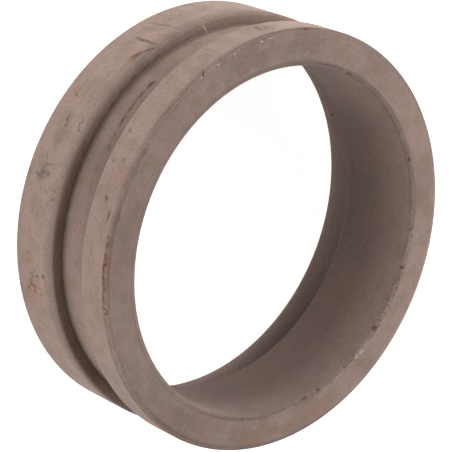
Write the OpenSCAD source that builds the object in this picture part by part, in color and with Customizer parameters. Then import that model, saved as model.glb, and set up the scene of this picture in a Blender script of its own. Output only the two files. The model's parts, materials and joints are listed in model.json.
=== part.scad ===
// Grooved steel bushing, turned in one piece: a wide back band, a groove for a clamp,
// a narrow front band, and a bore that opens into a wider seat for a pipe end.
// It stands on its back face, with the axis along Z and the origin at the foot of the axis.

/* [Outside] */
// Outside diameter of the front band
outside_d = 148; // [100:0.5:220]
// Length from the back face to the front face
length = 49.5; // [38:0.5:100]
// How much smaller the back band is than the front band, on the diameter
back_band_relief = 0.5; // [0:0.1:3]
// Width of the front band, from the groove to the front face
front_band_w = 12.5; // [5:0.1:18]
// Height of the front chamfer along the axis
front_chamfer_h = 1.2; // [0.2:0.1:4]
// Width of the front chamfer across the front face
front_chamfer_w = 1.6; // [0.2:0.1:5]
// Edge break round the outside of the back face
back_edge = 0.5; // [0.1:0.1:4]

/* [Groove] */
// Width of the groove between its two walls
groove_w = 16.3; // [6:0.1:28]
// Depth of the groove below the front band
groove_depth = 4.7; // [2.5:0.1:7]
// Radius in the two corners of the groove's floor
groove_root_r = 0.6; // [0.1:0.1:2.5]
// Rounding on the back band's edge at the groove
back_shoulder_r = 1.1; // [0.1:0.1:3]
// Rounding on the front band's edge at the groove
front_shoulder_r = 0.5; // [0.1:0.1:3]

/* [Bore] */
// Width of the shoulder between the pipe seat and the bore, which stops the pipe's end
shoulder_w = 5.5; // [2:0.1:15]
// Height of the bore's front chamfer along the axis
bore_chamfer_h = 0.6; // [0.1:0.1:4]
// Width of the bore's front chamfer across the front face
bore_chamfer_w = 1.6; // [0.1:0.1:6]
// Edge break where the bore meets the shoulder of the pipe seat
bore_back_edge = 0.3; // [0.1:0.1:2]

/* [Pipe seat] */
// Thickness of the wall round the pipe seat
seat_wall = 7; // [3:0.1:15]
// Depth of the pipe seat from the back face to its shoulder
seat_depth = 16; // [4:0.5:36]
// Radius in the corner between the seat's wall and its shoulder
seat_root_r = 0.5; // [0.1:0.1:1.5]
// Edge break at the mouth of the pipe seat
seat_mouth_edge = 0.8; // [0.1:0.1:3]

/* [Hidden] */
$fn = 180;
steel_colour = "#8f7d75";
front_r = outside_d / 2;
back_r = front_r - back_band_relief / 2;
floor_r = front_r - groove_depth;
seat_r = back_r - seat_wall;
bore_r = seat_r - shoulder_w;
groove_top = length - front_band_w;
groove_foot = groove_top - groove_w;

// Lines of the section as [radius, height], from the back face round to it again, before its
// corners are rounded
back_band_line = [[back_r - back_edge, 0], [back_r, back_edge], [back_r, groove_foot]];
groove_line = [[floor_r, groove_foot], [floor_r, groove_top]];
front_band_line = [[front_r, groove_top], [front_r, length - front_chamfer_h],
                   [front_r - front_chamfer_w, length]];
bore_line = [[bore_r + bore_chamfer_w, length], [bore_r, length - bore_chamfer_h],
             [bore_r, seat_depth + bore_back_edge], [bore_r + bore_back_edge, seat_depth]];
seat_line = [[seat_r, seat_depth], [seat_r, seat_mouth_edge], [seat_r + seat_mouth_edge, 0]];

// What is left between a square corner and an arc that rounds it. It fills an inner corner
// and is cut from an outer one. The corner lies at [r, z], and sides gives the way it opens.
module corner(r, z, radius, sides) {
    translate([r, z])
        scale(sides)
            difference() {
                square(radius);
                translate([radius, radius]) circle(radius);
            }
}

module section() {
    difference() {
        union() {
            polygon(concat(back_band_line, groove_line, front_band_line, bore_line, seat_line));
            corner(floor_r, groove_foot, groove_root_r, [1, 1]);
            corner(floor_r, groove_top, groove_root_r, [1, -1]);
            corner(seat_r, seat_depth, seat_root_r, [-1, -1]);
        }
        corner(back_r, groove_foot, back_shoulder_r, [-1, -1]);
        corner(front_r, groove_top, front_shoulder_r, [-1, 1]);
    }
}

module bushing() {
    color(steel_colour) rotate_extrude() section();
}

bushing();
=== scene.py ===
"""A grooved bushing of bare turned steel, seen from where its photograph was taken.

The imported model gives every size. The ring is one new surface that stands in for the CAD
solid: the same section, with the small roundings, nicks and dents of a real part.
Its finish is drawn by nodes on an unrolled map of the skin.
"""

from __future__ import annotations

import json
import logging
import math
from dataclasses import dataclass
from enum import Enum
from typing import Any

import bpy
import numpy as np
from mathutils import Matrix, Vector

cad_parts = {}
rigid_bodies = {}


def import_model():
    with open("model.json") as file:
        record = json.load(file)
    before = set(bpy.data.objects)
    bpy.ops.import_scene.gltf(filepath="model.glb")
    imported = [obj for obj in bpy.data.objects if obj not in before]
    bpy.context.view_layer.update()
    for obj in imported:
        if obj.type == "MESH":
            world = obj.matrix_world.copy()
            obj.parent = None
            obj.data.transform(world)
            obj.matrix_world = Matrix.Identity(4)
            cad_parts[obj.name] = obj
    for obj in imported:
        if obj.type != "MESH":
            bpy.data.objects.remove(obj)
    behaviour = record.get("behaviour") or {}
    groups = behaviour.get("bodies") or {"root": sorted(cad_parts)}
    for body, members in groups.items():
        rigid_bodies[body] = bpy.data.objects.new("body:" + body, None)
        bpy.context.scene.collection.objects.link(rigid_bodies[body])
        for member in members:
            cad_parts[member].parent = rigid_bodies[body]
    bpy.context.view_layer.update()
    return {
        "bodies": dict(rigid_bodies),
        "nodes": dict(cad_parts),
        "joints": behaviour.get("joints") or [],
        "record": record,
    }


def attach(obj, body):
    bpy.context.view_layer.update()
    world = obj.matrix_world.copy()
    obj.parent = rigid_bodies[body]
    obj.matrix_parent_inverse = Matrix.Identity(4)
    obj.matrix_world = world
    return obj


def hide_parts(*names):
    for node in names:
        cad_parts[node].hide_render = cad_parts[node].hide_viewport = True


LOG = logging.getLogger("bushing")
MM = 0.001
NODE = "bushing"
UNROLLED = "unrolled"

# The picture's own clock on the ring: 0 degrees at the top of the picture, 90 at its left.
# This is the bearing of that 0, counted from +X.
PICTURE_TOP = 196.7

# The clock of the unrolled map's seam, where no mark lies.
SEAM = -45.0

# The value that a noise swings about.
NOISE_MIDDLE = 0.5


class Run(Enum):
    """The straight runs of the section, in order round it."""

    BACK_FACE = "back face"
    BACK_EDGE = "back edge"
    BACK_BAND = "back band"
    GROOVE_WALL = "groove wall"
    GROOVE_FLOOR = "groove floor"
    FRONT_BAND_WALL = "front band wall"
    FRONT_BAND = "front band"
    FRONT_CHAMFER = "front chamfer"
    FRONT_FACE = "front face"
    BORE_CHAMFER = "bore chamfer"
    BORE = "bore"
    BORE_BACK_EDGE = "bore back edge"
    SHOULDER = "shoulder"
    SEAT_WALL = "seat wall"
    SEAT_MOUTH = "seat mouth"


@dataclass(frozen=True)
class Viewpoint:
    """Where the photograph was taken from, as seen from the ring."""

    elevation: float = 46.55  # degrees above the plane of the front face
    roll: float = 112.5  # degrees that the camera is turned to the left about its line of sight
    depth: float = 768.3  # mm from the lens to the centre of the front face, along the line of sight
    focal_px: float = 2277.9  # focal length in pixels of the photograph
    centre_px: tuple[float, float] = (280.4, 243.9)  # where the centre of the front face shows
    frame_px: float = 452.0  # width and height of the photograph
    sensor: float = 36.0  # mm

    def place(self, face_centre: Vector) -> bpy.types.Object:
        """Makes the camera, so that the centre of the front face falls on its pixel.

        Args:
            face_centre: the centre of the ring's front face, in metres.

        Returns:
            The camera, which is also the scene's.
        """
        tilt = math.radians(self.elevation)
        roll = math.radians(self.roll)
        level_right = Vector((1.0, 0.0, 0.0))
        level_up = Vector((0.0, math.sin(tilt), math.cos(tilt)))
        back = Vector((0.0, -math.cos(tilt), math.sin(tilt)))
        right = level_right * math.cos(roll) + level_up * math.sin(roll)
        up = level_up * math.cos(roll) - level_right * math.sin(roll)
        per_px = self.depth * MM / self.focal_px
        across = (self.centre_px[0] - self.frame_px / 2) * per_px
        down = (self.centre_px[1] - self.frame_px / 2) * per_px
        data = bpy.data.cameras.new("camera")
        data.sensor_width = self.sensor
        data.lens = self.sensor * self.focal_px / self.frame_px
        camera = bpy.data.objects.new("camera", data)
        turn = Matrix((right, up, back)).transposed().to_4x4()
        place = face_centre + back * self.depth * MM - right * across + up * down
        camera.matrix_world = Matrix.Translation(place) @ turn
        bpy.context.scene.collection.objects.link(camera)
        bpy.context.scene.camera = camera
        return camera


@dataclass(frozen=True)
class SoftBox:
    """A square soft light that faces the ring."""

    name: str
    bearing: float  # degrees round from +X
    height: float  # degrees above the floor
    power: float  # watts
    reach: float = 1.2  # metres from the ring
    side: float = 0.7  # metres

    def place(self, target: Vector) -> bpy.types.Object:
        """Hangs the light at its bearing and height, turned to the target.

        Args:
            target: the point that the light faces, in metres.

        Returns:
            The light.
        """
        bearing = math.radians(self.bearing)
        height = math.radians(self.height)
        level = Vector((math.cos(bearing), math.sin(bearing), 0.0)) * math.cos(height)
        towards = level + Vector((0.0, 0.0, math.sin(height)))
        data = bpy.data.lights.new(self.name, "AREA")
        data.shape = "SQUARE"
        data.size = self.side
        data.energy = self.power
        light = bpy.data.objects.new(self.name, data)
        light.location = target + towards * self.reach
        light.rotation_mode = "QUATERNION"
        light.rotation_quaternion = towards.to_track_quat("Z", "Y")
        bpy.context.scene.collection.objects.link(light)
        return light


@dataclass(frozen=True)
class Corner:
    """A corner of the section, and the run that leaves it."""

    run: Run
    radius: float  # mm from the axis
    height: float  # mm above the back face
    rounding: float  # mm
    rings: int  # rings on the run, between its two roundings
    steps: int = 3  # steps round the corner


class Kind(Enum):
    """The kinds of mark on the skin, in the order that they lie on it."""

    # A pale colour that paints a highlight on a chamfer.
    PAINTED_HIGHLIGHT = "painted highlight on an edge"
    FILMED = "patch of thicker film"
    SMUDGE = "smudge"
    TINT = "rust tint"
    SCORE = "score"
    PIT = "rusted nick"
    RUST = "rust"
    # Bare metal at nicks and burrs, partly painted glints.
    BRIGHT = "bare nick and painted glint"


@dataclass(frozen=True)
class Mark:
    """A mark that the finish draws as a soft, wavering ellipse."""

    kind: Kind
    run: Run
    clock: float  # degrees on the picture's clock
    at: float  # mm above the back face on a wall, or from the axis on a flat
    length: float  # mm
    width: float  # mm
    strength: float
    lean: float = 0.0  # degrees from the turning direction, so 90 lies across the run


@dataclass(frozen=True)
class Paint:
    """How one kind of mark is painted."""

    kind: Kind
    colour: str
    cover: float  # the most that it covers
    rim: float  # how soft its rim is, up to 1
    waver: float  # mm that its outline wanders
    gaps: float  # how broken up it is, up to 1


@dataclass(frozen=True)
class Dent:
    """A nick in the skin, or a burr where its depth is below zero."""

    run: Run
    clock: float  # degrees on the picture's clock
    at: float  # mm above the back face on a wall, or from the axis on a flat
    round_length: float  # mm round the ring
    across_length: float  # mm across the run
    depth: float  # mm


@dataclass(frozen=True)
class Sizes:
    """The ring's sizes in millimetres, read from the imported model."""

    length: float
    groove_foot: float
    groove_top: float
    seat_depth: float
    front_r: float
    back_r: float
    floor_r: float
    bore_r: float
    seat_r: float
    front_face: tuple[float, float]  # inner and outer radius of each flat
    groove_wall: tuple[float, float]
    front_band_wall: tuple[float, float]
    shoulder: tuple[float, float]
    back_face: tuple[float, float]
    front_band_end: float  # where each round wall stops short of its chamfer
    bore_end: float
    bore_start: float
    seat_start: float
    back_band_start: float

    @staticmethod
    def flats(node: bpy.types.Object) -> list[tuple[float, float, float]]:
        """Finds the flat faces of the CAD ring: the heights where its radii spread.

        Args:
            node: the CAD node.

        Returns:
            The height, inner radius and outer radius of each, from the lowest up.
        """
        widest_edge = 2.0  # mm, more than the radii of an edge spread at one height
        points = np.empty(len(node.data.vertices) * 3)
        node.data.vertices.foreach_get("co", points)
        points = points.reshape(-1, 3) / MM
        radii = np.hypot(points[:, 0], points[:, 1])
        heights = points[:, 2].round(2)
        found = []
        for height in np.unique(heights):
            here = radii[heights == height]
            if np.ptp(here) > widest_edge:
                found.append((float(height), float(here.min()), float(here.max())))
        return found

    @classmethod
    def from_frame(cls, frame: dict[str, Any]) -> Sizes:
        """Reads the sizes from the flats of the CAD node and the record's round mounts.


        Returns:
            The sizes.
        """
        back, shoulder, wall, band_wall, front = cls.flats(frame["nodes"][NODE])
        mounts = {mount["name"]: mount for mount in frame["record"]["mounts"]}

        def radius(name: str) -> float:
            """The radius of a round mount."""
            return float(mounts[name]["dims"]["r_mm"])

        def end(name: str, side: float) -> float:
            """The height of a round mount's lower end for side -1, or its upper end for 1."""
            mount = mounts[name]
            return mount["pos_m"][2] / MM + side * mount["dims"]["length_mm"] / 2

        return cls(
            length=front[0],
            groove_foot=wall[0],
            groove_top=band_wall[0],
            seat_depth=shoulder[0],
            front_r=radius("front_band"),
            back_r=radius("back_band"),
            floor_r=mounts["clamp_groove"]["pos_m"][0] / MM,
            bore_r=radius("bore"),
            seat_r=radius("pipe_seat"),
            front_face=front[1:],
            groove_wall=wall[1:],
            front_band_wall=band_wall[1:],
            shoulder=shoulder[1:],
            back_face=back[1:],
            front_band_end=end("front_band", 1),
            bore_end=end("bore", 1),
            bore_start=end("bore", -1),
            seat_start=end("pipe_seat", -1),
            back_band_start=end("back_band", -1),
        )

    def corners(self) -> list[Corner]:
        """The corners of the section, from the mouth of the seat out and round it.

        Returns:
            The corners. A rounding is the part's own, or the slight one that any edge has.
        """
        edge = 0.25  # mm, on an edge that the tool left sharp
        chamfer_edge = 0.6  # where the front band meets its chamfer
        face_edge = 2.4  # where the chamfer meets the front face, which is worn round
        back_r, front_r, floor_r = self.back_r, self.front_r, self.floor_r
        return [
            Corner(Run.BACK_FACE, self.back_face[0], 0.0, edge, 1),
            Corner(Run.BACK_EDGE, self.back_face[1], 0.0, edge / 2, 1),
            Corner(Run.BACK_BAND, back_r, self.back_band_start, edge / 2, 5),
            Corner(Run.GROOVE_WALL, back_r, self.groove_foot, back_r - self.groove_wall[1], 3, 6),
            Corner(Run.GROOVE_FLOOR, floor_r, self.groove_foot, self.groove_wall[0] - floor_r, 6, 4),
            Corner(Run.FRONT_BAND_WALL, floor_r, self.groove_top, self.front_band_wall[0] - floor_r, 2, 3),
            Corner(Run.FRONT_BAND, front_r, self.groove_top, front_r - self.front_band_wall[1], 5, 5),
            Corner(Run.FRONT_CHAMFER, front_r, self.front_band_end, chamfer_edge, 3, 4),
            Corner(Run.FRONT_FACE, self.front_face[1], self.length, face_edge, 6, 4),
            Corner(Run.BORE_CHAMFER, self.front_face[0], self.length, edge, 5),
            Corner(Run.BORE, self.bore_r, self.bore_end, edge, 10),
            Corner(Run.BORE_BACK_EDGE, self.bore_r, self.bore_start, edge / 2, 1, 2),
            Corner(Run.SHOULDER, self.shoulder[0], self.seat_depth, edge / 2, 2, 2),
            Corner(Run.SEAT_WALL, self.seat_r, self.seat_depth, self.seat_r - self.shoulder[1], 5, 4),
            Corner(Run.SEAT_MOUTH, self.seat_r, self.seat_start, edge, 1),
        ]


@dataclass
class Section:
    """The section as stations: points in order round it, with what lies where."""

    radii: np.ndarray  # mm
    heights: np.ndarray  # mm
    runs: list[Run]  # the run that each station lies on, or that its corner leads to
    starts: dict[Run, float]  # mm along the section at which each run starts
    begins: dict[Run, np.ndarray]  # radius and height, in mm, of its first point
    ways: dict[Run, np.ndarray]  # its direction as shares of radius and height

    @classmethod
    def from_corners(cls, corners: list[Corner]) -> Section:
        """Rounds each corner and spaces the rings on each run, closer towards its ends.

        A corner's arc touches both of its runs. With half the angle between them h, it starts
        rounding / tan(h) before the corner. A point on the arc is the arc's centre plus the
        rounding along a direction that turns evenly from one run's normal to the next's.

        Args:
            corners: the corners in order.

        Returns:
            The section.
        """
        crowding = 0.6  # how much closer the rings lie at a run's ends, from 0 to 1
        spots = np.array([(corner.radius, corner.height) for corner in corners])
        ahead = np.roll(spots, -1, 0) - spots
        span = np.hypot(*ahead.T)
        ahead /= span[:, None]
        behind = np.roll(ahead, 1, 0)
        normal = np.stack([ahead[:, 1], -ahead[:, 0]], 1)
        old_normal = np.roll(normal, 1, 0)
        turn = np.arctan2(behind[:, 0] * ahead[:, 1] - behind[:, 1] * ahead[:, 0], (behind * ahead).sum(1))
        rounding = np.array([corner.rounding for corner in corners])
        setback = rounding * np.abs(np.tan(turn / 2))
        points, runs, travelled = [], [], 0.0
        starts, begins, ways = {}, {}, {}
        for at, corner in enumerate(corners):
            side = math.copysign(1.0, turn[at])
            centre = spots[at] - behind[at] * setback[at] - old_normal[at] * rounding[at] * side
            share = np.linspace(0.0, 1.0, corner.steps + 1)
            first = math.atan2(*old_normal[at][::-1])
            angle = first + share * turn[at]
            arc = centre + side * rounding[at] * np.stack([np.cos(angle), np.sin(angle)], 1)
            after = (at + 1) % len(corners)
            begin = spots[at] + ahead[at] * setback[at]
            stretch = span[at] - setback[at] - setback[after]
            spread = np.linspace(0.0, 1.0, corner.rings + 2)[1:-1]
            eased = spread - crowding * np.sin(2 * math.pi * spread) / (2 * math.pi)
            points += [arc, begin + ahead[at] * (stretch * eased)[:, None]]
            runs += [corner.run] * (corner.steps + 1 + corner.rings)
            travelled += abs(turn[at]) * rounding[at]
            starts[corner.run] = travelled
            begins[corner.run] = begin
            ways[corner.run] = ahead[at]
            travelled += stretch
        line = np.concatenate(points)
        return cls(line[:, 0], line[:, 1], runs, starts, begins, ways)

    def distances(self) -> np.ndarray:
        """Measures along the section.

        Returns:
            The distance to each station, and once more round to the first, in mm.
        """
        across = np.diff(self.radii, append=self.radii[0])
        up = np.diff(self.heights, append=self.heights[0])
        return np.concatenate([[0.0], np.cumsum(np.hypot(across, up))])

    def normals(self) -> np.ndarray:
        """Finds the outward directions: at each station, the chord of its neighbours turned right.

        Returns:
            A row for each station, as shares of radius and height.
        """
        chord_r = np.roll(self.radii, -1) - np.roll(self.radii, 1)
        chord_z = np.roll(self.heights, -1) - np.roll(self.heights, 1)
        size = np.hypot(chord_r, chord_z)
        return np.stack([chord_z / size, -chord_r / size], 1)

    def place(self, run: Run, at: float) -> tuple[float, float]:
        """Finds a point of a run.

        Args:
            run: the run.
            at: mm above the back face on a wall, or from the axis on a flat.

        Returns:
            The distance along the section to the point and its radius, in mm.
        """
        begin, way = self.begins[run], self.ways[run]
        major = 0 if abs(way[0]) > abs(way[1]) else 1
        along = (at - begin[major]) / way[major]
        return self.starts[run] + along, begin[0] + way[0] * along


class Nodes:
    """A node tree being drawn."""

    def __init__(self, tree: bpy.types.NodeTree) -> None:
        """Starts from an empty tree."""
        self.tree = tree
        tree.nodes.clear()

    def add(self, kind: str, inputs: dict[Any, Any] | None = None, **settings: Any) -> bpy.types.Node:
        """Adds a node with its settings and links.

        Args:
            kind: the node's type name.
            inputs: what goes into each input, by name or number: a value, a node or a socket.
            settings: the node's own properties.

        Returns:
            The node.
        """
        node = self.tree.nodes.new(kind)
        for name, value in settings.items():
            setattr(node, name, value)
        for key, value in (inputs or {}).items():
            if isinstance(value, bpy.types.Node):
                value = next(out for out in value.outputs if out.enabled)
            if isinstance(value, bpy.types.NodeSocket):
                self.tree.links.new(value, node.inputs[key])
            else:
                node.inputs[key].default_value = value
        return node


def linear(code: str) -> tuple[float, float, float, float]:
    """Turns an sRGB hex colour into Blender's linear one.

    Args:
        code: six hex digits after a hash.

    Returns:
        Red, green, blue and alpha.
    """
    share = [int(code[at : at + 2], 16) / 255 for at in (1, 3, 5)]
    red, green, blue = (c / 12.92 if c <= 0.04045 else ((c + 0.055) / 1.055) ** 2.4 for c in share)
    return red, green, blue, 1.0


def marks(run: Run, kind: Kind, spots: tuple[tuple[float, ...], ...]) -> list[Mark]:
    """Makes the marks of one kind on one run, from the numbers of each in the order of Mark."""
    return [Mark(kind, run, *spot) for spot in spots]


# Each mark has its clock, its place across the run, length, width, strength and any lean.
MARKS: tuple[Mark, ...] = (
    # Back band: long scores, scuffs and rust.
    *marks(Run.BACK_BAND, Kind.SCORE, (
        (27.8, 10.5, 13, 1, 0.55, 97), (35.7, 12.7, 12.5, 1.4, 0.8, 88),
        (38.4, 18.6, 5.6, 1.3, 0.85, 146), (57.9, 6.4, 1.2, 1.5, 0.6),
        (64.5, 9.3, 3.8, 1.1, 0.7, 28), (66.3, 9.8, 2.2, 1.1, 0.7, -27),
        (66.2, 17.3, 3.3, 0.9, 0.6, 58), (75, 7.7, 2.8, 1, 0.45, 40),
        (83.8, 9.7, 0.9, 1.26, 0.3), (84, 12.8, 1.7, 0.82, 0.3, 75),
        (85, 17, 6.2, 0.8, 0.4, 130), (82.9, 16.8, 4, 0.8, 0.4, 78),
        (24.4, 9.2, 1.3, 1.55, 0.4, 51), (21.5, 9.1, 1.3, 1.41, 0.4, 51),
        (14.4, 11.6, 1.4, 1.41, 0.4, 51), (58.3, 13.8, 2.9, 0.68, 0.3, -24),
        (106.3, 15.4, 1.4, 1.84, 0.8, 73), (104.9, 18.8, 0.7, 0.97, 0.5),
    )),
    *marks(Run.BACK_BAND, Kind.RUST, (
        (42.2, 15.7, 3, 1, 1, 168), (42.5, 17.6, 2.8, 0.9, 1, 167),
        (41.9, 16.7, 2.8, 0.9, 1, 152), (40.7, 17, 3, 2.2, 1, 160),
        (105.5, 10, 1.5, 1, 0.9, 60), (107.2, 8.8, 2, 1, 1, 20),
        (106.8, 11.6, 1.9, 1.2, 1, 100), (107.8, 12.4, 1.4, 0.9, 0.9, 40),
        (109, 7.4, 2, 1.2, 1, 10), (110.2, 8, 2.8, 1.6, 1, 70),
        (111.3, 6.3, 1.6, 1.1, 1, 30), (110.4, 9.7, 2.2, 1.2, 0.9),
        (111.8, 9, 1.7, 1, 0.8, 90), (112, 12.5, 1.2, 0.9, 0.6),
        (106.3, 15.4, 1.4, 1.84, 0.5, 73),
    )),
    *marks(Run.BACK_BAND, Kind.PIT, (
        (40.8, 17, 3.2, 1.5, 1, 160), (41.8, 16.9, 2.2, 0.9, 0.8, 152),
    )),
    *marks(Run.BACK_BAND, Kind.TINT, (
        (41.6, 16.6, 6.5, 4.2, 0.5), (112, 9.5, 16, 12, 0.6),
        (129, 13, 15, 6, 0.35),
    )),
    *marks(Run.BACK_BAND, Kind.SMUDGE, (
        (40, 20, 30, 1, 0.4), (64, 16, 3.6, 1.3, 0.9, 34),
        (70.3, 9.8, 8, 6.4, 0.4), (79.7, 7.8, 5.6, 5, 1, 28),
        (77.2, 10.1, 6, 1.3, 0.7, 102), (79.6, 10.8, 3.4, 2.4, 0.9, 48),
        (90.7, 9.8, 2.6, 2.4, 0.4), (31.9, 15.4, 4, 1.2, 0.5, 124),
        (111.6, 1.2, 3.6, 1.8, 0.7),
    )),
    *marks(Run.BACK_BAND, Kind.BRIGHT, (
        (20.5, 13.2, 1.1, 0.6, 0.8, 124), (71, 19.3, 1.8, 0.4, 0.5),
        (28.4, 19.4, 1.8, 0.5, 0.5, 136),
    )),
    # Groove wall: a bright scratch down it, and dark spots along its foot.
    Mark(Kind.BRIGHT, Run.GROOVE_WALL, 20.5, 71.2, 4.4, 0.55, 1, 119),
    *marks(Run.GROOVE_WALL, Kind.SMUDGE, (
        (40.8, 70.7, 2.5, 1, 0.5), (46.1, 70.5, 2.5, 0.9, 0.6),
        (53, 71, 2.5, 0.9, 0.4), (68.3, 72, 2.6, 1, 0.5),
        (76, 71.5, 5, 1, 0.4),
    )),
    *marks(Run.GROOVE_WALL, Kind.PIT, (
        (37.6, 71, 1.8, 0.9, 0.5), (42.4, 70.6, 2.2, 1, 0.6),
        (46.6, 70.9, 2.8, 1, 0.6), (51.6, 71.2, 2.6, 1, 0.5),
        (56, 70.8, 2.2, 0.9, 0.4), (61, 71.1, 2.6, 0.9, 0.4),
    )),
    # Groove floor: a wandering stain, and painted shade beside the front band.
    *marks(Run.GROOVE_FLOOR, Kind.SMUDGE, (
        (46.1, 28, 4.8, 2.2, 1, -6), (63.7, 28.8, 6.8, 1.8, 0.85, 4),
        (67.4, 28.9, 4.2, 2.6, 0.85, 7), (72.6, 28.4, 8, 1.6, 0.65),
        # The two broad marks near 34 mm paint shade beside the front band.
        (79.1, 28.4, 9, 1.4, 0.55, 10), (48, 34, 22, 6, 0.4),
        (63, 33.8, 22, 5, 0.5),
    )),
    *marks(Run.GROOVE_FLOOR, Kind.SCORE, (
        (46, 28, 4.2, 2, 0.9, -6), (49.9, 28, 6.8, 1.5, 0.7, -4),
        (54.4, 28.2, 6.8, 1.4, 0.7, 1), (58.8, 28.5, 6.4, 1.4, 0.85, 4),
    )),
    # A darker patch of film along the front band, partly painted shade.
    Mark(Kind.FILMED, Run.GROOVE_FLOOR, 76, 32, 40, 5, 0.4),
    # Front band: scores, thin film, and a tint of rust along its front edge.
    *marks(Run.FRONT_BAND, Kind.FILMED, (
        (15, 42.5, 18, 9, 0.3), (76, 42.5, 14, 9, 0.2),
    )),
    *marks(Run.FRONT_BAND, Kind.SCORE, (
        (31.9, 39.9, 4.6, 0.85, 0.4, 102), (69.2, 44.1, 1.4, 2, 0.45, 20),
        (70, 40, 1.4, 2, 0.45, 30), (79.3, 43.1, 3, 1.5, 0.9, 22),
        (83.1, 46.8, 4.2, 1.26, 0.9, -5), (16.9, 38.9, 3.6, 1.1, 0.6, -163),
        (15.7, 41.4, 6, 1.7, 0.6, 80), (14.4, 43, 4.2, 1.1, 0.45, 25),
        (13.5, 45.2, 4, 1, 0.35, 80), (90, 38.3, 2.5, 0.68, 0.4, 60),
    )),
    *marks(Run.FRONT_BAND, Kind.SMUDGE, (
        (61.7, 39.4, 2.6, 2, 0.75), (15.7, 41.5, 6.4, 2.4, 0.35, 80),
        (13.6, 41.9, 3, 2.4, 0.4), (100, 40, 1.8, 1.2, 0.3),
    )),
    Mark(Kind.BRIGHT, Run.FRONT_BAND, 79.8, 43.6, 1, 0.5, 0.3, 22),
    *marks(Run.FRONT_BAND, Kind.TINT, (
        (74, 47.2, 9, 2.6, 0.85), (98, 47.6, 18, 2, 0.5),
    )),
    Mark(Kind.RUST, Run.FRONT_BAND, 73.6, 47.8, 6, 1.2, 0.35),
    # Front chamfer: rust along it, a notch, and the lines of a burr that was pushed over, partly painted
    # glints.
    *marks(Run.FRONT_CHAMFER, Kind.PIT, (
        (4.3, 73.7, 2.8, 0.9, 0.8), (3.6, 73.8, 11, 0.4, 0.5),
    )),
    *marks(Run.FRONT_CHAMFER, Kind.RUST, (
        (4.3, 73.7, 2.8, 1, 0.8), (88.4, 73.2, 1.8, 0.8, 0.9, 55),
        (90.4, 73.4, 3, 0.8, 0.8, -18), (95, 73.6, 8, 0.85, 1),
        (99.6, 73.6, 7, 1, 1), (99, 73.2, 1.2, 0.7, 0.8, 80),
        (101.8, 73.2, 1.4, 0.7, 0.8, 100), (104, 73.5, 4.6, 0.8, 0.9),
        (107, 73.2, 2, 0.7, 0.9, 52), (108.2, 73.2, 2, 0.7, 0.9, -46),
    )),
    # A pale band that paints a highlight along the front chamfer.
    Mark(Kind.PAINTED_HIGHLIGHT, Run.FRONT_CHAMFER, 122, 72.7, 56, 2.1, 0.75),
    Mark(Kind.TINT, Run.FRONT_CHAMFER, 98, 73.2, 26, 1.8, 0.8),
    *marks(Run.FRONT_CHAMFER, Kind.SCORE, (
        (84.5, 72.8, 0.9, 1.11, 0.3), (39.6, 73.2, 2.4, 0.9, 1, 60),
        (46, 73.1, 8.6, 0.5, 0.5), (52.5, 73.1, 9.6, 0.5, 0.45),
        (118, 72.9, 14, 0.4, 0.25), (128, 72.8, 12, 0.4, 0.25),
        (14, 73.8, 34, 0.6, 0.35), (21, 73, 14, 0.5, 0.5),
        (74.5, 73.4, 3.4, 0.6, 0.5),
    )),
    *marks(Run.FRONT_CHAMFER, Kind.BRIGHT, (
        (40.5, 72.7, 1, 0.4, 0.8, 10), (45.5, 72.6, 8.6, 0.3, 0.3),
        (52.9, 72.6, 10.6, 0.3, 0.3), (16.4, 72.6, 2, 0.5, 0.65),
        (19.7, 72.6, 1.2, 0.6, 0.7), (29, 72.6, 1.4, 0.4, 0.7),
        (34.6, 72.6, 1, 0.4, 0.8), (62, 72.6, 0.8, 0.5, 0.9),
        (65.3, 73.4, 0.7, 0.4, 0.7), (69.3, 73.6, 0.7, 0.4, 0.5),
        (73, 72.7, 2.5, 0.4, 0.4), (77.4, 72.8, 2.2, 0.4, 0.4),
    )),
    # Front face: clouds of film, tints of rust, and scores along its edge.
    *marks(Run.FRONT_FACE, Kind.SCORE, (
        (48, 72, 14, 0.4, 0.3), (125, 72, 26, 0.4, 0.25),
        (66, 72, 5, 0.5, 0.35), (71.5, 71.6, 6, 0.5, 0.35),
        (82, 72.1, 5, 0.6, 0.4), (110.5, 70.7, 1, 0.82, 0.4, -49),
    )),
    Mark(Kind.BRIGHT, Run.FRONT_FACE, 84.5, 71.9, 1.6, 0.5, 0.4),
    *marks(Run.FRONT_FACE, Kind.FILMED, (
        (86, 67.2, 44, 9.5, 0.36), (52, 67.5, 26, 12, 0.16),
        (24, 68.8, 32, 14, 0.45), (3, 67.7, 36, 13, 0.38),
        (-28, 67.5, 40, 12, 0.24), (-72, 66, 28, 11, 0.36),
        (-130, 67.5, 14, 10, 0.3), (-155, 67.5, 26, 12, 0.2),
        (156, 67.5, 34, 13, 0.42), (-178, 67.5, 24, 13, 0.3),
    )),
    Mark(Kind.RUST, Run.FRONT_FACE, 105.8, 63.5, 1, 0.97, 0.8),
    *marks(Run.FRONT_FACE, Kind.TINT, (
        (109, 63.6, 3.2, 1.6, 0.9), (-176, 68.2, 18, 8, 0.75),
        (-153, 68.5, 22, 7, 0.8), (-80, 69, 14, 5, 0.25),
        (-133, 67, 14, 7, 0.3), (-30, 66, 14, 5, 0.3),
    )),
    # Bore's front edge: nicks with dark dirt in them, and a bright burr between them, partly painted glints.
    *marks(Run.BORE_CHAMFER, Kind.PIT, (
        (-98.5, 62, 1.65, 1.79, 1), (-101.2, 61.9, 0.75, 0.88, 0.8),
        (-106, 61.8, 0.75, 0.78, 0.6), (-110.1, 62.1, 0.83, 1.08, 0.8),
        (-112.2, 62, 0.68, 0.88, 0.6), (-120.5, 61.9, 2.1, 1.99, 1),
        (-137.4, 62.1, 1.05, 0.99, 0.8), (-149.8, 61.7, 2.4, 1.3, 0.65),
        (-155.4, 61.8, 2.4, 1.1, 0.7), (-152.5, 62.1, 1.2, 0.8, 0.5),
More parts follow.
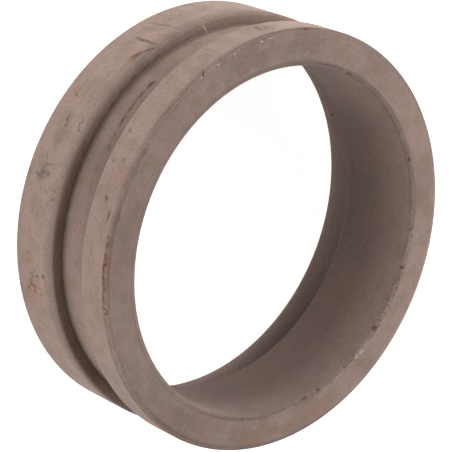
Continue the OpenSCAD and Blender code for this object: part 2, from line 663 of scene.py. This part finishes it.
        (-164.5, 62, 0.6, 0.78, 0.7), (-85.5, 61.9, 1.2, 0.88, 0.7),
        (-89, 61.8, 0.75, 0.78, 0.6), (-94, 61.8, 0.9, 0.78, 0.6),
        (-60.8, 62, 1.6, 0.9, 0.8), (-58.2, 61.8, 1.05, 0.88, 0.6),
        (-132.2, 61.9, 1, 0.9, 0.7), (172, 62.5, 46, 0.7, 0.5),
        (-166, 62, 12, 0.7, 0.35),
    )),
    *marks(Run.BORE_CHAMFER, Kind.RUST, (
        (-120.5, 61.9, 2, 1.84, 0.5), (-175.3, 62.3, 1, 0.97, 0.8),
        (177.6, 62.4, 1.6, 0.97, 0.9), (-60.8, 62, 1.6, 0.9, 0.6),
    )),
    *marks(Run.BORE_CHAMFER, Kind.SCORE, (
        (-16.4, 61.8, 3.6, 1.1, 0.8), (-6, 62.3, 18, 0.6, 0.7),
        (-80, 62.8, 22, 0.45, 0.28),
    )),
    *marks(Run.BORE_CHAMFER, Kind.BRIGHT, (
        (-126.4, 62.75, 4.4, 0.8, 0.75), (-129.4, 62.8, 3.2, 1.5, 1),
        (-131.6, 62.75, 2.8, 1.5, 1), (-134.6, 62.75, 4.6, 0.6, 0.65),
        (-140.6, 62.75, 9, 0.65, 0.8), (-146.6, 62.75, 5, 0.6, 0.6),
        (-74, 62.3, 18, 0.5, 0.55), (-52, 62.4, 14, 0.4, 0.35),
        (-92, 62.2, 14, 0.6, 0.55), (-112, 62.3, 12, 0.6, 0.6),
        (-52.8, 61.8, 0.9, 0.6, 0.5),
    )),
    # A faint painted highlight on the bore's front edge.
    Mark(Kind.PAINTED_HIGHLIGHT, Run.BORE_CHAMFER, -164, 62.7, 18, 0.9, 0.25),
    # Bore: a fine line beside its front edge, and two dull patches.
    Mark(Kind.SCORE, Run.BORE, -40, 48.6, 60, 0.5, 0.4),
    *marks(Run.BORE, Kind.SMUDGE, (
        (-167.7, 25.6, 8, 5, 0.5), (-73.5, 24, 6, 15, 0.7),
    )),
    # Pipe seat: one rusted nick.
    Mark(Kind.PIT, Run.SEAT_WALL, -57, 5.2, 1.6, 1.8, 1),
)

# The named nicks, whose dark dirt or burr is among the marks.
DENTS: tuple[Dent, ...] = (
    Dent(Run.FRONT_CHAMFER, 39.6, 73.2, 1.2, 1.6, 0.35),
    Dent(Run.BORE_CHAMFER, -98.5, 61.8, 2.0, 1.6, 0.5),
    Dent(Run.BORE_CHAMFER, -110.1, 61.9, 1.2, 1.0, 0.3),
    Dent(Run.BORE_CHAMFER, -120.5, 61.8, 2.6, 1.8, 0.6),
    Dent(Run.BORE_CHAMFER, -137.4, 61.9, 1.4, 1.0, 0.3),
    Dent(Run.BORE_CHAMFER, -150.2, 61.8, 2.4, 1.4, 0.4),
    Dent(Run.BORE_CHAMFER, -156.4, 61.8, 2.0, 1.2, 0.35),
    Dent(Run.BORE_CHAMFER, -60.6, 61.9, 1.6, 1.0, 0.3),
    Dent(Run.BORE_CHAMFER, -85.5, 61.8, 1.6, 1.0, 0.25),
)


@dataclass(frozen=True)
class TurnedSteel:
    """Bare carbon steel, turned on a lathe and stored dry.

    The tool leaves fine lines that run round every surface. A thin brown oxide film lies over
    them, so that the metal is dull and warm. The share that lays the film also paints shade, so
    that the metal is darker deep in the bore, in the groove and in inner corners. Clouds in the
    film, scuffs and rust break it up.
    """

    section: Section  # says where each run lies on the unrolled map
    front_r: float  # mm, the radius at which that map is true to size
    fresh: str = "#AB958B"
    cloud: str = "#A28C80"
    warm: str = "#AE948B"
    # The film colours are laid by a share that is partly oxide film and partly painted shade.
    film_and_shade_mauve: str = "#7A6763"
    film_and_shade_green: str = "#7C6960"
    # The grime colour is laid by a share that is partly dark dirt and partly painted shade.
    shade_and_grime: str = "#4A3D36"
    cloud_mm: float = 6.0  # size of the clouds in the film
    warm_mm: float = 13.8  # size of its warmer patches
    fleck_mm: float = 0.8  # size of its flecks
    line_mm: float = 0.9  # spacing of the turning lines, three times the real feed so that they show
    line_run_mm: float = 50.0  # how far a turning line runs before another takes its place
    wander_mm: float = 3.0  # size of the waves in the marks' outlines
    wander_gain: float = 4.0  # brings the noise behind those waves to about 1 either way
    dot_mm: float = 0.9  # size of the dark dots on the ragged edge
    # The levels of each noise between which it goes from nothing to all.
    cloud_levels: tuple[float, float] = (0.4, 0.62)
    warm_levels: tuple[float, float] = (0.5, 0.72)
    hue_levels: tuple[float, float] = (0.42, 0.58)
    scab_levels: tuple[float, float] = (0.36, 0.52)
    dot_levels: tuple[float, float] = (0.53, 0.62)
    # How strongly the flecks and lines show without film or painted shade, and what a full share of them adds
    # to that.
    fleck_depth: tuple[float, float] = (0.45, 0.26)
    line_depth: tuple[float, float] = (0.24, -0.14)
    # Roughness and metallic share, and what a chamfer's wear, rust and bright nicks add to them.
    roughness: float = 0.74
    worn_roughness: float = 0.2
    rust_roughness: float = 0.15
    bright_roughness: float = -0.3
    metallic: float = 0.62
    worn_metallic: float = -0.5
    rust_metallic: float = -0.6
    # The relief: the share of the lines beside the flecks, its strength, and its height in mm.
    line_relief: float = 0.6
    relief: float = 0.25
    relief_mm: float = 0.05
    paints: tuple[Paint, ...] = (
        # A pale colour that paints highlights on the chamfers.
        Paint(Kind.PAINTED_HIGHLIGHT, "#D4BCB0", 1.0, 1.0, 0.4, 0.0),
        Paint(Kind.FILMED, "#7E6961", 1.0, 1.0, 0.7, 0.0),
        Paint(Kind.SMUDGE, "#6C635A", 0.9, 0.95, 0.9, 0.15),
        Paint(Kind.TINT, "#B28770", 0.75, 1.0, 1.5, 0.1),
        Paint(Kind.SCORE, "#5C4A40", 1.0, 0.9, 0.45, 0.25),
        Paint(Kind.PIT, "#664A3C", 0.9, 0.7, 0.3, 0.3),
        Paint(Kind.RUST, "#7D4F3A", 0.95, 0.6, 0.6, 0.7),
        # A pale colour for bare metal and painted glints.
        Paint(Kind.BRIGHT, "#D0BDB1", 0.9, 0.9, 0.2, 0.5),
    )

    def build(self) -> bpy.types.Material:
        """Builds the material.

        Returns:
            The material.
        """
        material = bpy.data.materials.new("turned_carbon_steel")
        material.use_nodes = True
        nodes = Nodes(material.node_tree)
        place = nodes.add("ShaderNodeTexCoord").outputs["Object"]
        unrolled = nodes.add("ShaderNodeUVMap", uv_map=UNROLLED)
        lumps = {"Vector": place, "Scale": 1 / (self.fleck_mm * MM), "Detail": 2.0}
        flecks = nodes.add("ShaderNodeTexNoise", lumps)
        spacing = (1 / (self.line_run_mm * MM), 1 / (self.line_mm * MM), 0.0)
        stretched = nodes.add("ShaderNodeMapping", {"Vector": unrolled, "Scale": spacing})
        lines = nodes.add("ShaderNodeTexNoise", {"Vector": stretched, "Scale": 1.0, "Detail": 2.0})
        skin = self.skin(nodes, place, flecks, lines)
        colour, masks = self.marked(nodes, place, unrolled, flecks, skin)
        worn = nodes.add("ShaderNodeAttribute", attribute_name="worn").outputs["Fac"]
        response = {"Roughness": self.roughness, "Metallic": self.metallic}
        for share, name, change in (
            (worn, "Roughness", self.worn_roughness),
            (masks[Kind.RUST], "Roughness", self.rust_roughness),
            (masks[Kind.BRIGHT], "Roughness", self.bright_roughness),
            (masks[Kind.RUST], "Metallic", self.rust_metallic),
            (worn, "Metallic", self.worn_metallic),
        ):
            changed = {0: share, 1: change, 2: response[name]}
            response[name] = nodes.add("ShaderNodeMath", changed, operation="MULTIPLY_ADD")
        raised = {0: lines, 1: self.line_relief, 2: flecks}
        height = nodes.add("ShaderNodeMath", raised, operation="MULTIPLY_ADD")
        relief = {"Height": height, "Strength": self.relief, "Distance": self.relief_mm * MM}
        bump = nodes.add("ShaderNodeBump", relief)
        shader = nodes.add("ShaderNodeBsdfPrincipled", {"Base Color": colour, "Normal": bump, **response})
        nodes.add("ShaderNodeOutputMaterial", {"Surface": shader})
        return material

    def skin(self, nodes: Nodes, place: Any, flecks: Any, lines: Any) -> bpy.types.Node:
        """Colours the steel, its film, the dirt on it and the painted shade.

        One colour is laid over another by a share: a noise stretched between two levels, or what
        the skin carries as film and painted shade, or as grime and painted shade. The flecks and
        lines then scale the brightness by 1 plus how far each noise is from its middle, times its
        depth.

        Args:
            nodes: the tree.
            place: the place on the ring.
            flecks: the noise of the flecks.
            lines: the noise of the turning lines.

        Returns:
            The node that gives the colour.
        """
        lumps = {"Vector": place, "Scale": 1 / (self.cloud_mm * MM), "Detail": 4.0}
        clouds = nodes.add("ShaderNodeTexNoise", lumps)
        lumps = {"Vector": place, "Scale": 1 / (self.warm_mm * MM), "Detail": 3.0}
        warmth = nodes.add("ShaderNodeTexNoise", lumps)
        cloudy, warm, green = (
            nodes.add(
                "ShaderNodeMapRange",
                {"Value": noise, "From Min": low, "From Max": high},
                interpolation_type="SMOOTHSTEP",
            )
            for noise, (low, high) in (
                (clouds, self.cloud_levels),
                (warmth, self.warm_levels),
                (warmth, self.hue_levels),
            )
        )
        # The film share is oxide film and painted shade.
        film_and_shade = nodes.add("ShaderNodeAttribute", attribute_name="film_and_shade").outputs["Fac"]
        # The grime share is dark dirt and painted shade.
        shade_and_grime = nodes.add("ShaderNodeAttribute", attribute_name="shade_and_grime").outputs["Fac"]
        hues = {0: green, 6: linear(self.film_and_shade_mauve), 7: linear(self.film_and_shade_green)}
        film_and_shade_colour = nodes.add("ShaderNodeMix", hues, data_type="RGBA")
        colour = linear(self.fresh)
        for share, over in (
            (cloudy, linear(self.cloud)),
            (warm, linear(self.warm)),
            (film_and_shade, film_and_shade_colour),
            (shade_and_grime, linear(self.shade_and_grime)),
        ):
            colour = nodes.add("ShaderNodeMix", {0: share, 6: colour, 7: over}, data_type="RGBA")
        tone = 1.0
        for noise, (bare, filmed) in ((flecks, self.fleck_depth), (lines, self.line_depth)):
            depth = nodes.add("ShaderNodeMath", {0: film_and_shade, 1: filmed, 2: bare}, operation="MULTIPLY_ADD")
            swing = nodes.add("ShaderNodeMath", {0: noise, 1: NOISE_MIDDLE}, operation="SUBTRACT")
            tone = nodes.add("ShaderNodeMath", {0: swing, 1: depth, 2: tone}, operation="MULTIPLY_ADD")
        return nodes.add("ShaderNodeVectorMath", {0: colour, "Scale": tone}, operation="SCALE")

    def marked(
        self, nodes: Nodes, place: Any, unrolled: Any, flecks: Any, colour: Any
    ) -> tuple[bpy.types.Node, dict[Kind, bpy.types.Node]]:
        """Paints the marks on the skin, one kind over another.

        A noise moves the map a little before a mark is drawn on it, so that outlines waver, and
        the flecks break the mark up.

        Args:
            nodes: the tree.
            place: the place on the ring.
            unrolled: the unrolled map.
            flecks: the noise of the flecks.
            colour: the skin's own colour.

        Returns:
            The colour with its marks, and the share of each kind.
        """
        lumps = {"Vector": place, "Scale": 1 / (self.wander_mm * MM), "Detail": 2.0}
        waves = nodes.add("ShaderNodeTexNoise", lumps).outputs["Color"]
        wander = nodes.add("ShaderNodeVectorMath", {0: waves, 1: (NOISE_MIDDLE,) * 3}, operation="SUBTRACT")
        low, high = self.scab_levels
        stretch = {"Value": flecks, "From Min": low, "From Max": high}
        scabs = nodes.add("ShaderNodeMapRange", stretch, interpolation_type="SMOOTHSTEP")
        masks = {}
        for paint in self.paints:
            sway = {0: wander, "Scale": self.wander_gain * paint.waver}
            shift = nodes.add("ShaderNodeVectorMath", sway, operation="SCALE")
            in_mm = {"Vector": unrolled, "Location": shift, "Scale": (1 / MM, 1 / MM, 0.0)}
            mask = self.mask(nodes, nodes.add("ShaderNodeMapping", in_mm), paint)
            unbroken = {0: scabs, 1: paint.gaps, 2: 1 - paint.gaps}
            left = nodes.add("ShaderNodeMath", unbroken, operation="MULTIPLY_ADD")
            mask = nodes.add("ShaderNodeMath", {0: mask, 1: left}, operation="MULTIPLY")
            if paint.kind is Kind.PIT:
                dots = self.dots(nodes, place)
                mask = nodes.add("ShaderNodeMath", {0: mask, 1: dots}, operation="MAXIMUM")
            masks[paint.kind] = mask
            cover = nodes.add("ShaderNodeMath", {0: mask, 1: paint.cover}, operation="MULTIPLY")
            layer = {0: cover, 6: colour, 7: linear(paint.colour)}
            colour = nodes.add("ShaderNodeMix", layer, data_type="RGBA")
        return colour, masks

    def dots(self, nodes: Nodes, place: Any) -> bpy.types.Node:
        """Draws the dark dots on the ragged part of the bore's front edge.

        Args:
            nodes: the tree.
            place: the place on the ring.

        Returns:
            The node that gives the share of the dots, from 0 to 1.
        """
        ragged = nodes.add("ShaderNodeAttribute", attribute_name="ragged").outputs["Fac"]
        lumps = {"Vector": place, "Scale": 1 / (self.dot_mm * MM), "Detail": 1.0}
        low, high = self.dot_levels
        stretch = {"Value": nodes.add("ShaderNodeTexNoise", lumps), "From Min": low, "From Max": high}
        spots = nodes.add("ShaderNodeMapRange", stretch, interpolation_type="SMOOTHSTEP")
        return nodes.add("ShaderNodeMath", {0: ragged, 1: spots}, operation="MULTIPLY")

    def mask(self, nodes: Nodes, wavering: bpy.types.Node, paint: Paint) -> bpy.types.Node:
        """Draws every mark of one kind.

        Each is full inside an ellipse and falls softly to nothing round it. The map is moved,
        turned and scaled so that the fall ends on a unit circle, and a spherical gradient gives
        the way inside it. Where marks overlap the stronger shows.

        Args:
            nodes: the tree.
            wavering: the unrolled map in mm, with its wander.
            paint: the kind of mark and how it is painted.

        Returns:
            The node that gives the share of the mark, from 0 to 1.
        """
        reach = 0.75  # from a mark's centre to the end of its fall, as a share of its size
        total = nodes.add("ShaderNodeValue")
        total.outputs[0].default_value = 0.0
        for mark in (mark for mark in MARKS if mark.kind is paint.kind):
            distance, radius = self.section.place(mark.run, mark.at)
            turn = math.radians((mark.clock - SEAM) % 360)
            stretch = self.front_r / radius
            lean = math.radians(mark.lean)
            lean = math.atan2(math.sin(lean), math.cos(lean) * stretch)
            spot = nodes.add(
                "ShaderNodeMapping",
                {
                    "Vector": wavering,
                    "Location": (turn * self.front_r, distance, 0.0),
                    "Rotation": (0.0, 0.0, lean),
                    "Scale": (reach * mark.length, reach * mark.width, 1.0),
                },
                vector_type="TEXTURE",
            )
            inside = nodes.add("ShaderNodeTexGradient", {"Vector": spot}, gradient_type="SPHERICAL")
            inputs = {"Value": inside.outputs["Fac"], "From Max": paint.rim, "To Max": mark.strength}
            here = nodes.add("ShaderNodeMapRange", inputs, interpolation_type="SMOOTHSTEP")
            total = nodes.add("ShaderNodeMath", {0: total, 1: here}, operation="MAXIMUM")
        return total


@dataclass
class Ring:
    """The bushing: one turned ring."""

    sizes: Sizes
    facets: int = 800  # steps round the ring
    # The small nicks along the worn part of the bore's front edge.
    ragged_seed: int = 7
    ragged_nicks: int = 46
    ragged_clocks: tuple[float, float] = (-162.0, -58.0)  # degrees
    ragged_lengths: tuple[float, float] = (0.7, 1.8)  # mm
    ragged_depths: tuple[float, float] = (0.04, 0.2)  # mm
    ragged_inset: float = 0.4  # mm from the bore

    def build(self) -> bpy.types.Object:
        """Builds and dresses the ring, and lets it stand in for the CAD node.

        Returns:
            The ring.
        """
        section = Section.from_corners(self.sizes.corners())
        ring = self.surface(section)
        ring.data.materials.append(TurnedSteel(section, self.sizes.front_r).build())
        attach(ring, "root")
        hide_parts(NODE)
        return ring

    def dents(self) -> list[Dent]:
        """Adds small nicks at random to the named ones, along the worn part of the bore's edge.

        Returns:
            All the nicks.
        """
        rng = np.random.default_rng(self.ragged_seed)
        clocks = rng.uniform(*self.ragged_clocks, self.ragged_nicks)
        lengths = rng.uniform(*self.ragged_lengths, self.ragged_nicks)
        depths = rng.uniform(*self.ragged_depths, self.ragged_nicks)
        edge = self.sizes.bore_r + self.ragged_inset
        small = [
            Dent(Run.BORE_CHAMFER, clock, edge, length, length, depth)
            for clock, length, depth in zip(clocks, lengths, depths)
        ]
        return list(DENTS) + small

    def sink(self, section: Section, clocks: np.ndarray) -> np.ndarray:
        """How far the nicks sink the skin at each column and station, in mm.

        Each nick is a Gaussian hollow: its depth times exp(-2 d^2), where d is the distance from
        its centre in units of half its length and half its width.

        Args:
            section: the section.
            clocks: the clock of each column, in degrees.

        Returns:
            An array with a row for each column and a column for each station.
        """
        distances = section.distances()[:-1]
        total = np.zeros((len(clocks), len(distances)))
        for dent in self.dents():
            middle, radius = section.place(dent.run, dent.at)
            turn = np.radians((clocks - dent.clock + 180.0) % 360.0 - 180.0)
            round_share = turn * radius / (dent.round_length / 2)
            across_share = (distances - middle) / (dent.across_length / 2)
            total += dent.depth * np.exp(-2 * (round_share[:, None] ** 2 + across_share[None, :] ** 2))
        return total

    def film_and_shade(self, section: Section, clocks: np.ndarray) -> np.ndarray:
        """Share of oxide film and painted shade at each point.

        It is full deep in the bore and thins towards the front edge and the back rim, painting shade
        that deepens away from the bore's openings. It is thinner where the bore turns up to the
        picture's top right, a painted lighter patch there. The groove's floor carries painted shade
        along the front band, the back band along the groove, and the front face along its outer
        edge. The two chamfers carry it in parts, as painted shade that changes round the ring.

        Args:
            section: the section.
            clocks: the clock of each column, in degrees.

        Returns:
            An array with a row for each column and a column for each station.
        """
        # Profiles of oxide film and painted shade; the openings shape the painted shade round the ring.
        profiles = {
            Run.BORE: ([16.0, 24.0, 30.0, 36.0, 42.0, 49.5], [1.0, 1.0, 0.98, 0.8, 0.52, 0.3]),
            Run.BORE_BACK_EDGE: ([0.0], [1.0]),
            Run.SHOULDER: ([0.0], [1.0]),
            Run.SEAT_WALL: ([0.0, 5.0, 10.0], [0.4, 0.85, 1.0]),
            Run.SEAT_MOUTH: ([0.0], [0.3]),
            Run.BORE_CHAMFER: ([0.0], [0.55]),
            Run.GROOVE_WALL: ([69.3, 71.5, 72.6, 73.75], [0.5, 0.3, 0.2, 0.5]),
            Run.GROOVE_FLOOR: ([22.0, 30.0], [0.0, 0.65]),
            Run.FRONT_CHAMFER: ([0.0], [1.0]),
            Run.BACK_BAND: ([16.6, 18.4], [0.0, 0.6]),
            Run.FRONT_BAND: ([0.0], [0.16]),
            Run.FRONT_FACE: ([71.6, 72.5], [0.0, 1.0]),
        }
        openings = {
            Run.BORE: self.around(clocks, -30.0, 18.0, 1.0, 0.5),
            Run.GROOVE_FLOOR: self.around(clocks, 62.0, 55.0, 0.0, 1.0),
            Run.BACK_BAND: self.around(clocks, 72.0, 26.0, 1.0, 0.42),
            Run.FRONT_BAND: self.around(clocks, 8.0, 18.0, 1.0, 0.0)
            * self.around(clocks, 62.0, 10.0, 1.0, 0.1)
            * self.around(clocks, 152.0, 14.0, 1.0, 2.6),
            Run.BORE_CHAMFER: self.around(clocks, -85.0, 60.0, 1.0, 0.15),
            Run.FRONT_CHAMFER: self.around(clocks, -70.0, 85.0, 0.2, 1.0)
            * self.around(clocks, 138.0, 28.0, 1.0, 0.0)
            * self.around(clocks, 80.0, 22.0, 1.0, 0.6),
            Run.FRONT_FACE: self.around(clocks, -48.0, 60.0, 0.0, 1.0)
            + self.around(clocks, -152.0, 26.0, 0.0, 0.9),
        }
        return self.lay(section, clocks, profiles, openings)

    def shade_and_grime(self, section: Section, clocks: np.ndarray) -> np.ndarray:
        """Share of dark dirt and painted shade at each point.

        Painted shade lies at the groove's foot and on both sides of the bore's back edge, deepest
        in the seat's inner corner. At the picture's lower right it darkens the front chamfer.

        Args:
            section: the section.
            clocks: the clock of each column, in degrees.

        Returns:
            An array with a row for each column and a column for each station.
        """
        # Painted shade at the groove's foot, beside the bore's back edge and in the seat's corner.
        profiles = {
            Run.SEAT_WALL: ([0.0, 4.0, 10.0, 16.0], [0.12, 0.3, 0.75, 0.95]),
            Run.BORE: ([16.0, 34.0], [0.24, 0.0]),
            Run.GROOVE_WALL: ([69.3, 70.3, 71.9], [0.32, 0.34, 0.0]),
            Run.FRONT_CHAMFER: ([72.4, 74.0], [0.3, 0.6]),
            Run.GROOVE_FLOOR: ([20.7, 21.2, 21.7], [0.6, 0.35, 0.0]),
        }
        openings = {
            Run.SEAT_WALL: self.around(clocks, -136.0, 28.0, 0.1, 1.0),
            Run.BORE: self.around(clocks, -76.0, 26.0, 0.0, 1.0),
            Run.GROOVE_WALL: self.around(clocks, 45.0, 32.0, 0.3, 1.0),
            Run.FRONT_CHAMFER: self.around(clocks, -156.0, 22.0, 0.0, 1.0),
        }
        return self.lay(section, clocks, profiles, openings)

    def ragged(self, section: Section, clocks: np.ndarray) -> np.ndarray:
        """Where the bore's front edge is ragged, as a share at each point."""
        worn = self.around(clocks, -108.0, 34.0, 0.0, 0.7)
        return self.lay(section, clocks, {Run.BORE_CHAMFER: ([0.0], [1.0])}, {Run.BORE_CHAMFER: worn})

    def lay(
        self,
        section: Section,
        clocks: np.ndarray,
        profiles: dict[Run, tuple[list[float], list[float]]],
        openings: dict[Run, np.ndarray],
    ) -> np.ndarray:
        """Lays a share over the skin: a profile across each run times a factor round the ring.

        Args:
            section: the section.
            clocks: the clock of each column, in degrees.
            profiles: for each run, places across it in mm and the share at each. A place is a
                height on a wall and a radius on a flat.
            openings: for a run, the factor at each column.

        Returns:
            An array with a row for each column and a column for each station.
        """
        share = np.zeros((len(clocks), len(section.runs)))
        for at, run in enumerate(section.runs):
            if run in profiles:
                way = section.ways[run]
                place = section.radii[at] if abs(way[0]) > abs(way[1]) else section.heights[at]
                share[:, at] = np.interp(place, *profiles[run]) * openings.get(run, 1.0)
        return share

    def around(self, clocks: np.ndarray, middle: float, spread: float, far: float, near: float) -> np.ndarray:
        """A value that passes from far to near about a clock, as a Gaussian of the turn from it."""
        away = (clocks - middle + 180.0) % 360.0 - 180.0
        return far + (near - far) * np.exp(-((away / spread) ** 2))

    def surface(self, section: Section) -> bpy.types.Object:
        """Sweeps the section round the axis and sinks the nicks into it.

        The point at bearing t and station s lies at radius(s) along (cos t, sin t) and at
        height(s), less the sink there along the section's outward normal. The unrolled map holds
        the turn from the seam times the front band's radius, and the distance s.

        Args:
            section: the section to sweep.

        Returns:
            The ring's object, at the origin.
        """
        stations = len(section.radii)
        clocks = SEAM + np.arange(self.facets) * (360 / self.facets)
        bearings = np.radians(clocks + PICTURE_TOP)
        sink = self.sink(section, clocks)
        normals = section.normals()
        radii = section.radii - sink * normals[:, 0]
        heights = section.heights - sink * normals[:, 1]
        points = np.stack([radii * np.cos(bearings)[:, None], radii * np.sin(bearings)[:, None], heights], 2)
        column = np.arange(self.facets)[:, None]
        row = np.arange(stations)[None, :]
        next_column = (column + 1) % self.facets
        next_row = (row + 1) % stations
        corners = [(column, row), (next_column, row), (next_column, next_row), (column, next_row)]
        quads = np.stack([at * stations + up for at, up in corners], 2).reshape(-1, 4)
        mesh = bpy.data.meshes.new("bushing_skin")
        mesh.from_pydata(points.reshape(-1, 3) * MM, [], quads)
        round_step = 2 * math.pi / self.facets * self.sizes.front_r
        distances = section.distances()
        across = np.broadcast_to(column[:, :, None] + np.array([0, 1, 1, 0]), (self.facets, stations, 4))
        along = np.broadcast_to(distances[row[:, :, None] + np.array([0, 0, 1, 1])], across.shape)
        unrolled = np.stack([across * round_step, along], 3) * MM
        layer = mesh.uv_layers.new(name=UNROLLED)
        layer.uv.foreach_set("vector", unrolled.astype(np.float32).ravel())
        chamfers = [run in (Run.FRONT_CHAMFER, Run.BORE_CHAMFER) for run in section.runs]
        shares = {
            # The film share also carries painted shade.
            "film_and_shade": self.film_and_shade(section, clocks),
            # The grime share also carries painted shade.
            "shade_and_grime": self.shade_and_grime(section, clocks),
            "worn": np.array(chamfers, float),
            "ragged": self.ragged(section, clocks),
        }
        for name, share in shares.items():
            attribute = mesh.attributes.new(name, "FLOAT", "POINT")
            values = np.broadcast_to(share, (self.facets, stations))
            attribute.data.foreach_set("value", values.astype(np.float32).ravel())
        mesh.shade_smooth()
        ring = bpy.data.objects.new("bushing_ring", mesh)
        bpy.context.scene.collection.objects.link(ring)
        return ring


@dataclass(frozen=True)
class MattPaper:
    """White background paper, lit evenly.

    It is quite matt, so that the ring has no mirror image at its foot, and it gives the ring
    light from below. To the camera it is a plain white.
    """

    colour: str = "#E7E7E7"
    light: str = "#FFFFFF"
    roughness: float = 0.9
    glow: float = 0.64  # light that it gives the ring
    whiteness: float = 0.3  # light that it gives the camera beyond that

    def build(self) -> bpy.types.Material:
        """Builds the material.

        Returns:
            The material.
        """
        material = bpy.data.materials.new("matt_white_paper")
        material.use_nodes = True
        nodes = Nodes(material.node_tree)
        ray = nodes.add("ShaderNodeLightPath").outputs["Is Camera Ray"]
        strength = {0: ray, 1: self.whiteness, 2: self.glow}
        shader = nodes.add(
            "ShaderNodeBsdfPrincipled",
            {
                "Base Color": linear(self.colour),
                "Roughness": self.roughness,
                "Specular IOR Level": 0.0,
                "Emission Color": linear(self.light),
                "Emission Strength": nodes.add("ShaderNodeMath", strength, operation="MULTIPLY_ADD"),
            },
        )
        nodes.add("ShaderNodeOutputMaterial", {"Surface": shader})
        return material


@dataclass(frozen=True)
class Studio:
    """A white floor and soft lights all round, low enough to reach into the groove."""

    floor_side: float = 12.0  # metres
    gap: float = 0.00005  # metres between the ring's back face and the floor, so that they don't flicker
    boxes: tuple[SoftBox, ...] = (
        SoftBox("back", 90.0, 14.0, 10.0),
        SoftBox("back left", 135.0, 14.0, 5.8),
        SoftBox("front left", 225.0, 14.0, 3.2),
        SoftBox("right", 315.0, 14.0, 5.6),
        SoftBox("far right", 0.0, 14.0, 1.6),
        SoftBox("high left", 180.0, 45.0, 7.8),
    )

    def build(self, target: Vector) -> None:
        """Lays the floor and hangs the lights.

        Args:
            target: the point that the lights face, in metres.
        """
        self.lay_floor()
        self.darken_room()
        for box in self.boxes:
            box.place(target)

    def lay_floor(self) -> None:
        """Lays a plain white floor under the ring, which the ring's outer bands mirror."""
        half = self.floor_side / 2
        mesh = bpy.data.meshes.new("floor")
        spots = [(-half, -half), (half, -half), (half, half), (-half, half)]
        mesh.from_pydata([(x, y, -self.gap) for x, y in spots], [], [(0, 1, 2, 3)])
        floor = bpy.data.objects.new("floor", mesh)
        bpy.context.scene.collection.objects.link(floor)
        mesh.materials.append(MattPaper().build())

    def darken_room(self) -> None:
        """Leaves the room behind the lights dark."""
        world = bpy.data.worlds.new("studio")
        world.use_nodes = True
        nodes = Nodes(world.node_tree)
        dark = nodes.add("ShaderNodeBackground", {"Color": linear("#000000"), "Strength": 0.0})
        nodes.add("ShaderNodeOutputWorld", {"Surface": dark})
        bpy.context.scene.world = world


def main() -> None:
    """Builds the camera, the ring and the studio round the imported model."""
    logging.basicConfig(level=logging.INFO, format="%(name)s: %(message)s")
    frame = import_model()
    sizes = Sizes.from_frame(frame)
    bpy.context.scene.view_settings.view_transform = "Standard"
    Viewpoint().place(Vector((0.0, 0.0, sizes.length * MM)))
    ring = Ring(sizes).build()
    LOG.info("%s: %d faces", ring.name, len(ring.data.polygons))
    Studio().build(Vector((0.0, 0.0, sizes.length * MM / 2)))


if __name__ == "__main__":
    main()
